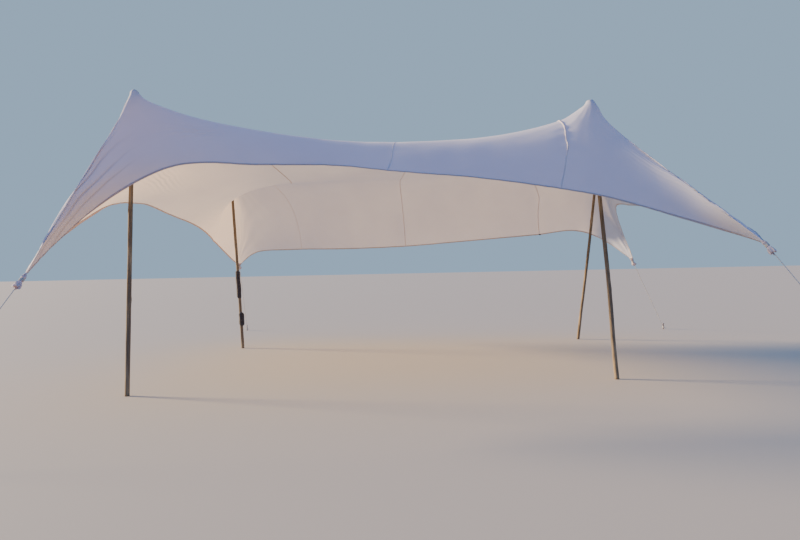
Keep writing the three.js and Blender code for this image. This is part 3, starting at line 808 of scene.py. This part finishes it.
CLOTH = cloth_material("stretch_cloth", 0.35, (0.68, 0.69, 0.85), (0.75, 0.76, 0.91))
HEM = cloth_material("hem_cloth", 0.42, (0.62, 0.55, 0.56), (0.70, 0.63, 0.64), stitched=True)
SEAM = cloth_material("seam_cloth", 0.35, (0.88, 0.80, 0.84), (0.94, 0.87, 0.91), stitched=True)
FLAT_SEAM = cloth_material("flat_seam_cloth", 0.75, (0.78, 0.74, 0.80), (0.84, 0.80, 0.86), stitched=True)
TUFT = cloth_material("gathered_cloth", 0.25, (0.70, 0.61, 0.66), (0.80, 0.71, 0.77))
BARK = by_corner(0.6, 0.5, 0.45, 0.75)
WOOD = {name: wood_material("timber_" + name, BARK[name]) for name in CORNERS}
PAD = wrap_material("pad_cloth", (0.045, 0.042, 0.045), (0.13, 0.12, 0.12))
WRAP = wrap_material("dark_wrap", (0.018, 0.016, 0.02), (0.07, 0.055, 0.055))
ROPE = rope_material("twisted_rope")
STEEL = steel_material("worn_steel")


# The canopy, one sheet without its four gathered tips
def canopy_skin():
    count_i, count_j = U.shape
    index = np.arange(count_i * count_j).reshape(count_i, count_j)
    kept = np.ones((count_i - 1, count_j - 1), bool)
    for name in CORNERS:
        s, t, _, _ = from_corner(name)
        q = s + t
        kept &= (q[:-1, :-1] + q[1:, :-1] + q[:-1, 1:] + q[1:, 1:]) / 4 > 1.0
    quads = np.stack([index[:-1, :-1], index[1:, :-1], index[1:, 1:], index[:-1, 1:]], -1)[kept]
    used = np.unique(quads)
    renumber = np.zeros(count_i * count_j, int)
    renumber[used] = np.arange(len(used))
    points, flat = SHEET.reshape(-1, 3)[used], np.stack([U, V], -1).reshape(-1, 2)[used]
    return (points, renumber[quads].tolist(), flat), used


def painted_pad_shade():
    """Painted shade: the cloth darkened over the pole tops, where it is drawn thin over the dark pads."""
    far = np.array([from_pole(name)[2] for name in CORNERS])
    return (0.5 * np.exp(-((far / 0.03) ** 2)) + 0.1 * np.exp(-((far / 0.14) ** 2))).sum(axis=0)


skin, used = canopy_skin()
# The canopy's colour is darkened over the pole tops as painted shade
shade = (1 - np.clip(painted_pad_shade(), 0, 0.7)).ravel()[used]
strips = [f"canopy_strip_{k}" for k in (1, 2, 3, 4)]
canopy = make("canopy", skin, CLOTH, strips, shade)

# Hems: the edge rolled over and stitched; the profile's upper half is across and up, in millimetres
HEM_TOP = ((-4, 1.2), (0, 2.2), (5, 2.0), (9, 2.4), (13, 2.6), (15.5, 1.2))
HEM_PROFILE = np.array([*HEM_TOP, *((x, -y) for x, y in reversed(HEM_TOP))]) / 1000
HEM_STEP = 0.018


def hem(name, edge):
    """The hem along an edge, given as the places on the grid of its points and of the next row."""
    points, normals, inner = (row[SPLIT:-SPLIT] for row in (SHEET[edge[0]], NORMAL[edge[0]], SHEET[edge[1]]))
    along = lengths(points)
    marks = np.linspace(0, along[-1], int(along[-1] / HEM_STEP))
    points, normals, inner = (resampled(row, along, marks) for row in (points, normals, inner))
    run = unit(np.gradient(points, axis=0))
    side = unit(np.cross(run, normals))
    side = np.where(np.einsum("ij,ij->i", side, inner - points)[:, None] > 0, -side, side)
    normals = unit(np.cross(side, run))
    width = np.minimum(1, 0.35 + np.minimum(marks, marks[-1] - marks) / 0.3)
    ripple = 0.0012 * waves(marks, 0 * marks, len(name), 0.30, 0.07)
    rings = points[:, None] + side[:, None] * (HEM_PROFILE[:, 0] * width[:, None])[..., None]
    rings += normals[:, None] * (HEM_PROFILE[:, 1] + ripple[:, None])[..., None]
    return make(name + "_rolled", loft(rings), HEM, [name])


ALL = slice(None)
hems = [
    hem("hem_front", ((ALL, 0), (ALL, 1))),
    hem("hem_back", ((ALL, -1), (ALL, -2))),
    hem("hem_left", (0, 1)),
    hem("hem_right", (-1, -2)),
]

# Seams: a raised welt that puckers the cloth. Profile: half widths across and heights
WELT_TOP = ((-1, 0), (-0.7, 0.75), (-0.25, 1), (0.25, 0.85), (0.7, 0.6), (1, 0))
WELT_PROFILE = np.array([*WELT_TOP, (0.7, -0.65), (0, -1), (-0.7, -0.65)])
WELT_STEP, WELT_END = 0.009, 0.004
# Rows: place along the depth, place across, width, height outside and inside
WELTS = (
    (
        (0, 1.40, 0.004, -0.0006, 0.0012),
        (0.9, 1.40, 0.004, -0.0006, 0.0012),
        (1.1, 1.40, 0.010, -0.0005, 0.0022),
        (3.9, 1.40, 0.009, -0.0005, 0.0022),
        (4.1, 1.40, 0.004, -0.0004, 0.0009),
        (5.2, 1.40, 0.004, -0.0004, 0.0009),
    ),
    (
        (0, 2.79, 0.010, 0.0018, 0.0025),
        (0.3, 2.80, 0.010, 0.0018, 0.0025),
        (0.75, 2.81, 0.010, 0.0014, 0.0025),
        (5.2, 2.80, 0.010, 0.001, 0.0025),
    ),
    (
        (0, 4.372, 0.012, 0.004, 0.002),
        (0.06, 4.40, 0.011, 0.004, 0.002),
        (0.16, 4.424, 0.011, 0.004, 0.002),
        (0.19, 4.432, 0.022, 0.010, 0.003),
        (0.215, 4.428, 0.027, 0.012, 0.003),
        (0.25, 4.412, 0.018, 0.008, 0.003),
        (0.42, 4.40, 0.019, 0.008, 0.003),
        (0.65, 4.353, 0.022, 0.009, 0.003),
        (0.90, 4.345, 0.018, 0.007, 0.003),
        (1.60, 4.38, 0.011, 0.003, 0.003),
        (4.50, 4.36, 0.010, 0.002, 0.003),
        (4.71, 4.377, 0.010, 0.002, 0.003),
        (4.915, 4.443, 0.010, 0.002, 0.003),
        (5.0, 4.432, 0.010, 0.002, 0.003),
        (5.2, 4.40, 0.012, 0.002, 0.003),
    ),
)


def welt(number, rows, material):
    places, *columns = np.array(rows).T
    v = np.linspace(WELT_END, FLAT_DEPTH - WELT_END, 1200)
    u, wide, outer, inner = (np.interp(v, places, column) for column in columns)
    u = np.convolve(np.pad(u, 5, mode="edge"), np.ones(11) / 11, mode="valid")
    points, normals = on_sheet(SHEET, u, v), unit(on_sheet(NORMAL, u, v))
    along = lengths(points)
    marks = np.linspace(0, along[-1], int(along[-1] / WELT_STEP))
    points, normals = resampled(points, along, marks), resampled(normals, along, marks)
    wide, outer, inner = (np.interp(marks, along, x)[:, None] for x in (wide, outer, inner))
    side = unit(np.cross(unit(np.gradient(points, axis=0)), normals))
    uneven = 1 + 0.25 * waves(marks, 0 * marks, 80 + number, 0.12, 0.03)[:, None]
    drift = 0.12 * wide * waves(marks, 0 * marks, 90 + number, 0.5, 0.12)[:, None]
    across, up = WELT_PROFILE.T
    rings = points[:, None] + side[:, None] * (across * wide / 2 + drift)[..., None]
    rings += normals[:, None] * (np.where(up > 0, outer, inner) * up * uneven)[..., None]
    return make(f"seam_{number}_welt", loft(rings), material, [f"seam_{number}"])


seams = [welt(k + 1, WELTS[k], (FLAT_SEAM, SEAM, SEAM)[k]) for k in range(3)]


def knotted_end():
    """Knotted end of the right seam, hanging at the back edge, in the dark pad material as painted shade."""
    start = on_sheet(SHEET, np.array([4.41]), np.array([5.198]))[0]
    across = np.linspace(-1, 1, 21)
    path = start + np.stack([0.020 * across, 0.003 + 0 * across, -0.015 - 0.003 * across], 1)
    lump = np.sqrt(np.clip(1.02 - across**2, 0, 1)) * (1 + 0.12 * np.cos(7 * across))
    around = ring(round_angles(16), 0.0095 * UP, 0.0065 * NORTH) * lump[:, None, None]
    # The dark pad material here is painted shade on the white seam cloth
    return make("seam_3_knotted_end", loft(path[:, None] + around), PAD)


seam_end = knotted_end()


# Poles, pads, gathered tips, guy ropes and stakes
TIMBER_WAVINESS, KNOB_HEIGHT = 0.035, 0.0035


def timber(n, name, top):
    """Timber with a natural bend, swellings and knobs."""
    random = np.random.default_rng(100 + n)
    foot = FEET[name]
    height = np.linspace(0, 1, 170)
    east, north = (waves(height, 0 * height, seed + n, 1.6, 0.5, 5) for seed in (200, 210))
    bend = np.stack([east, north, 0 * height], 1)
    hold = 0.006 * (np.minimum(height, 1 - height) * 4).clip(0, 1) ** 0.7
    height, angle = height[:, None], round_angles(22)
    path = foot + (top - foot) * height + bend * hold[:, None]
    swollen = 1 + TIMBER_WAVINESS * waves(height * 6, np.cos(angle) * 0.6, 220 + n, 3.0, 0.5)
    radius = (POLE_RADII[0] + (POLE_RADII[1] - POLE_RADII[0]) * height) * swollen
    for _ in range(7):
        at, where = random.uniform(0.06, 0.94), random.uniform(0, math.tau)
        aside = np.angle(np.exp(1j * (angle - where)))
        radius += KNOB_HEIGHT * np.exp(-(((height - at) * 3.0 / 0.03) ** 2) - (aside / 0.5) ** 2)
    make("timber_" + name, upright(path, radius), WOOD[name], ["pole_" + name])


# Profile of the pad in millimetres: distances down from its top, and radii
PAD_DROPS = (0, 4, 10, 18, 30, 50, 70, 82, 90, 100, 125, 150, 165)
PAD_RADII = (4, 16, 22, 26.5, 29, 30, 29, 25.5, 24.5, 26.2, 28, 26.8, 24.5)
STEEP_PAD_SHARE, PAD_RINGS = 0.7, 46
# Its cord: start below the top, length and radius of the coil, turns, thickness
CORD_PLACE, CORD_TURNS, CORD_RADIUS = (0.080, 0.014, 0.0275), 5, 0.0016


def pad(n, name, apex):
    """Cloth pad over the pole's end, and the cord that binds it."""
    down = -unit(TOPS[name] - FEET[name])
    radii = np.array(PAD_RADII, float)
    if name == STEEP:
        radii[:7] *= STEEP_PAD_SHARE
    marks, rows = np.linspace(0, 1, PAD_RINGS), np.linspace(0, 1, len(radii))
    drop, radius = (np.interp(marks, rows, x)[:, None] / 1000 for x in (PAD_DROPS, radii))
    angle = round_angles(22)
    folds = 1 + 0.05 * np.cos(7 * angle + 3 * n) * smooth(0.05, 0.1, drop)
    folds += 0.03 * waves(drop * 9, angle[None, :] / 3, 230 + n, 1.0, 0.3)
    make("pad_" + name + "_bound", upright(apex + down * drop, radius * folds), PAD, ["pad_" + name])
    first, long, wide = CORD_PLACE
    turn = np.linspace(0, CORD_TURNS * math.tau, 150)
    coil = apex + down * (first + long * turn[:, None] / turn[-1]) + wide * ring(turn, EAST, NORTH)
    make("pad_cord_" + name, loft(tube(coil, CORD_RADIUS, 6)), ROPE)


# The tips are cut this many cells from their corners, and tied this far beyond their necks
TIP_CUT, TIP_COLUMNS = 1.12, 36
TIES = by_corner(0.055, 0.035, 0.085, 0.06)
TIP_LENGTH, TUFT_LENGTH, TUFT_CLOTH_HALF = 0.30, 0.085, 0.0014
# Radius of the gathered cloth by distance beyond the tie
TUFT_MARKS = (-0.3, -0.09, -0.013, 0.012, 0.026, 0.045, 0.068, 0.085)
TUFT_RADII = (0.030, 0.025, 0.0125, 0.0125, 0.020, 0.028, 0.030, 0.026)
# The tuft's open end turns inward: shift along it, and share of its width
TUFT_HOLLOW = ((0.001, 0.93), (-0.006, 0.82), (-0.018, 0.6), (-0.03, 0.3))


def cut_line(name, line):
    """The sheet's cross-section where its tip is cut, and its outward normals."""
    share = np.linspace(0, 1, TIP_COLUMNS)
    i, j = TIP_CUT * share * SPLIT, TIP_CUT * (1 - share) * SPLIT
    ends, outward = between(turned(SHEET, name), i, j), unit(between(turned(NORMAL, name), i, j))
    outward = outward * np.sign(outward.mean(axis=0)[2])
    if np.cross(line, ends[0] - ends[-1]) @ outward.mean(axis=0) < 0:
        return ends[::-1], outward[::-1]
    return ends, outward


def tuft(n, name, line):
    """Gathered tip, from the sheet's cross-section to the tie and its lobed end."""
    ends, outward = cut_line(name, line)
    lift = outward * TUFT_CLOTH_HALF
    start = np.concatenate([ends + lift, ends[::-1] - lift[::-1]])
    centre, tie = start.mean(axis=0), NECK[name] + line * TIES[name]
    across = ends[0] - ends[-1]
    e1 = unit(across - line * (line @ across))
    e2 = np.cross(line, e1)
    beyond = np.concatenate([np.linspace(-TIP_LENGTH, -0.013, 26), np.linspace(-0.010, TUFT_LENGTH, 26)])
    share = np.clip((beyond + TIP_LENGTH) / 0.29, 0, 1)
    radius = np.interp(beyond, TUFT_MARKS, TUFT_RADII)
    flatter = radius * np.interp(beyond, [0.0, 0.03, 0.085], [1.0, 0.85, 0.92])
    beyond, share, radius, flatter = (x[:, None] for x in (beyond, share, radius, flatter))
    upper = centre + (tie - line * 0.012 - centre) * share
    path = np.where(beyond < -0.012, upper, tie + line * beyond)

    angle = (np.arange(2 * TIP_COLUMNS) + 0.5) * math.pi / TIP_COLUMNS
    spun = angle + 2.0 * np.maximum(beyond, 0)
    pleats = 0.6 * np.cos(9 * spun + n) + 0.4 * np.cos(14 * spun - 1 + 2 * n)
    pleats = 1 + (0.10 * share + 0.16 * smooth(0.02, 0.07, beyond)) * pleats
    lobes = 0.55 * np.cos(4 * angle + 1.3 * n) + 0.45 * np.cos(7 * angle + n)
    lobes = smooth(0.03, 0.085, beyond) * lobes
    rounded = ring(angle, e1 * radius[:, None], e2 * flatter[:, None])
    spanned = (start - centre) + (rounded - (start - centre)) * share[:, None] ** 0.8
    points = path[:, None] + spanned * (pleats * (1 + 0.16 * lobes))[..., None]
    ripple = 0.016 * share * (1 - share) * np.cos(round_angles(2 * TIP_COLUMNS) * 18 + n)
    points += outward.mean(axis=0) * ripple[..., None] + line * (0.012 * lobes)[..., None]
    inside = [path[-1] + line * shift + (points[-1] - path[-1]) * part for shift, part in TUFT_HOLLOW]
    skin = loft(np.concatenate([points, inside]))
    make("tuft_" + name, skin, TUFT, ["knot_" + name], np.full(len(skin[0]), 0.95))
    return path[np.abs(beyond).argmin()], path[-1], e1, e2


ROPE_RADIUS, ROPE_PITCH = 0.004, 0.028
WRAP_TURNS, WRAP_LENGTH, WRAP_RADIUS = 3, 0.026, 0.0163
BOW_WIDTH, BOW_LEAVES = 0.036, 0.03
HITCH_TURNS, HITCH_LENGTH, HITCH_RADIUS = 3.2, 0.022, 0.0145
TAIL_LENGTH, TAIL_DROP, TAIL_TURN = 0.05, 0.024, 1.4


def guy_rope(name, eye, line, tie, end, e1, e2):
    """Turns round the gathered cloth, a bow past it, the line, a hitch on the stake and a tail."""
    turn = np.linspace(0, WRAP_TURNS * math.tau, 100)
    wraps = tie + line * WRAP_LENGTH * (turn[:, None] / turn[-1] - 0.5) + WRAP_RADIUS * ring(turn, e1, e2)
    span = np.linspace(0, 1, 60)[1:, None]
    leave = end + unit(eye - end) * BOW_LEAVES
    bow = wraps[-1] + (leave - wraps[-1]) * span
    bow += e1 * (BOW_WIDTH * np.sin(math.pi * span) * (1 - span * 0.4))
    towards = math.atan2(*(NECK[name] - eye)[[1, 0]])
    arrive = eye + HITCH_RADIUS * ring(np.array(towards), EAST, NORTH)
    run = leave + (arrive - leave) * np.linspace(0, 1, 40)[1:, None]
    turn = np.linspace(0, HITCH_TURNS * math.tau, 110)[1:]
    hitch = eye + HITCH_RADIUS * ring(towards + turn, EAST, NORTH)
    hitch[:, 2] -= HITCH_LENGTH * turn / turn[-1]
    away = towards + turn[-1] + TAIL_TURN
    tail = (TAIL_LENGTH * math.cos(away), TAIL_LENGTH * math.sin(away), -TAIL_DROP)
    tail = hitch[-1] + np.linspace(0, 1, 12)[1:, None] * tail
    skin = twisted(np.vstack([wraps, bow, run, hitch, tail]), ROPE_RADIUS, ROPE_PITCH)
    make("guy_rope_" + name, skin, ROPE, ["rope_" + name])


# Profile of the stake with its hammered head, in millimetres
STAKE_HEIGHTS = (0, 20, 50, 90, 96, 99, 103, 107, 110, 110)
STAKE_RADII = (10, 10, 10, 10, 12.5, 16, 17.2, 16.8, 15, 8)


def peg(n, name):
    z, radius = (np.array(x)[:, None] / 1000 for x in (STAKE_HEIGHTS, STAKE_RADII))
    dents = 1 + 0.05 * np.cos(5 * round_angles(28) + n) * smooth(0.095, 0.11, z)
    skin = upright(metres(STAKE[name]) + z * UP, radius * dents)
    make("peg_" + name, skin, STEEL, ["stake_" + name])


for n, name in enumerate(CORNERS):
    foot, apex = FEET[name], TOPS[name] - (CLOTH_HALF + PAD_GAP) * UP
    timber(n, name, foot + (apex - foot) * (1 - PAD_HEIGHT / apex[2]))
    pad(n, name, apex)
    eye = metres(STAKE[name]) + EYE_HEIGHT * UP
    line = unit(eye - NECK[name])
    guy_rope(name, eye, line, *tuft(n, name, line))
    peg(n, name)


# Dark cloth wrapped on the back left pole: bottom, top, radius, shift to the right
POLE_WRAPS = ((0.80, 1.24, 0.036, 0.0), (0.36, 0.57, 0.042, 0.012))


def pole_wrap(number, low, high, wide, shift):
    foot, peak = FEET["back_left"], TOPS["back_left"]
    z, angle = np.linspace(low, high, 40)[:, None], round_angles(40)
    centre = foot + (peak - foot) * z / peak[2] + EAST * shift
    ends = np.minimum(1, np.minimum(z - low, high - z) / 0.03) ** 0.5
    bulge = 1 + 0.12 * waves(z * 4, np.cos(angle) * 0.5, 300 + number, 1.2, 0.3)
    bulge += 0.08 * np.cos(3 * angle + 25 * z)
    radius = POLE_RADII[0] + (wide - POLE_RADII[0]) * ends * bulge
    make(f"pole_wrap_{number + 1}", upright(centre, radius), WRAP)


for number, wrap in enumerate(POLE_WRAPS):
    pole_wrap(number, *wrap)

# Floor, light and camera
bpy.ops.mesh.primitive_plane_add(size=400, location=(0, 0, -0.001))
floor = bpy.context.object
floor.name = "floor"
floor_material, shader = principled("pale_floor")
plug(shader, {"Base Color": (0.50, 0.43, 0.34, 1), "Roughness": 0.9})
floor.data.materials.append(floor_material)

world = bpy.data.worlds.new("studio")
bpy.context.scene.world = world
world.use_nodes = True
background = world.node_tree.nodes["Background"]
seen = add(background, "ShaderNodeLightPath").outputs["Is Camera Ray"]
sky = mixed(seen, (0.16, 0.42, 1.0), (0.36, 0.52, 0.70))
plug(background, {"Color": sky, "Strength": 0.9})


def stand(thing, right, up, back, place):
    """Put the lamp or the camera at a place, turned by its own three directions."""
    thing.matrix_world = Matrix([[right[k], up[k], back[k], place[k]] for k in range(3)] + [[0, 0, 0, 1]])


# The key light comes low from the left and behind, and aims at the origin
KEY_PLACE = (-11.0, 4.2, 2.8)
key_data = bpy.data.lights.new("key", "SUN")
key_data.energy = 12.5
key_data.angle = math.radians(12)
key_data.color = (1.0, 0.76, 0.46)
key = bpy.data.objects.new("key", key_data)
bpy.context.scene.collection.objects.link(key)
back = unit(KEY_PLACE)
right = unit(np.cross(UP, back))
stand(key, right, np.cross(back, right), back, KEY_PLACE)

camera_data = bpy.data.cameras.new("camera")
camera = bpy.data.objects.new("camera", camera_data)
bpy.context.scene.collection.objects.link(camera)
bpy.context.scene.camera = camera
camera_data.sensor_fit = "HORIZONTAL"
camera_data.sensor_width = SENSOR_WIDTH
camera_data.lens = SENSOR_WIDTH * FOCAL_PIXELS / PHOTO_WIDTH
camera_data.clip_end = 300
right = np.array([math.cos(CAMERA_TURN), -math.sin(CAMERA_TURN), 0])
back = np.array([-math.sin(CAMERA_TURN), -math.cos(CAMERA_TURN), 0])
c, s = math.cos(CAMERA_ROLL), math.sin(CAMERA_ROLL)
stand(camera, c * right - s * UP, s * right + c * UP, back, CAMERA_AT)

bpy.context.view_layer.update()
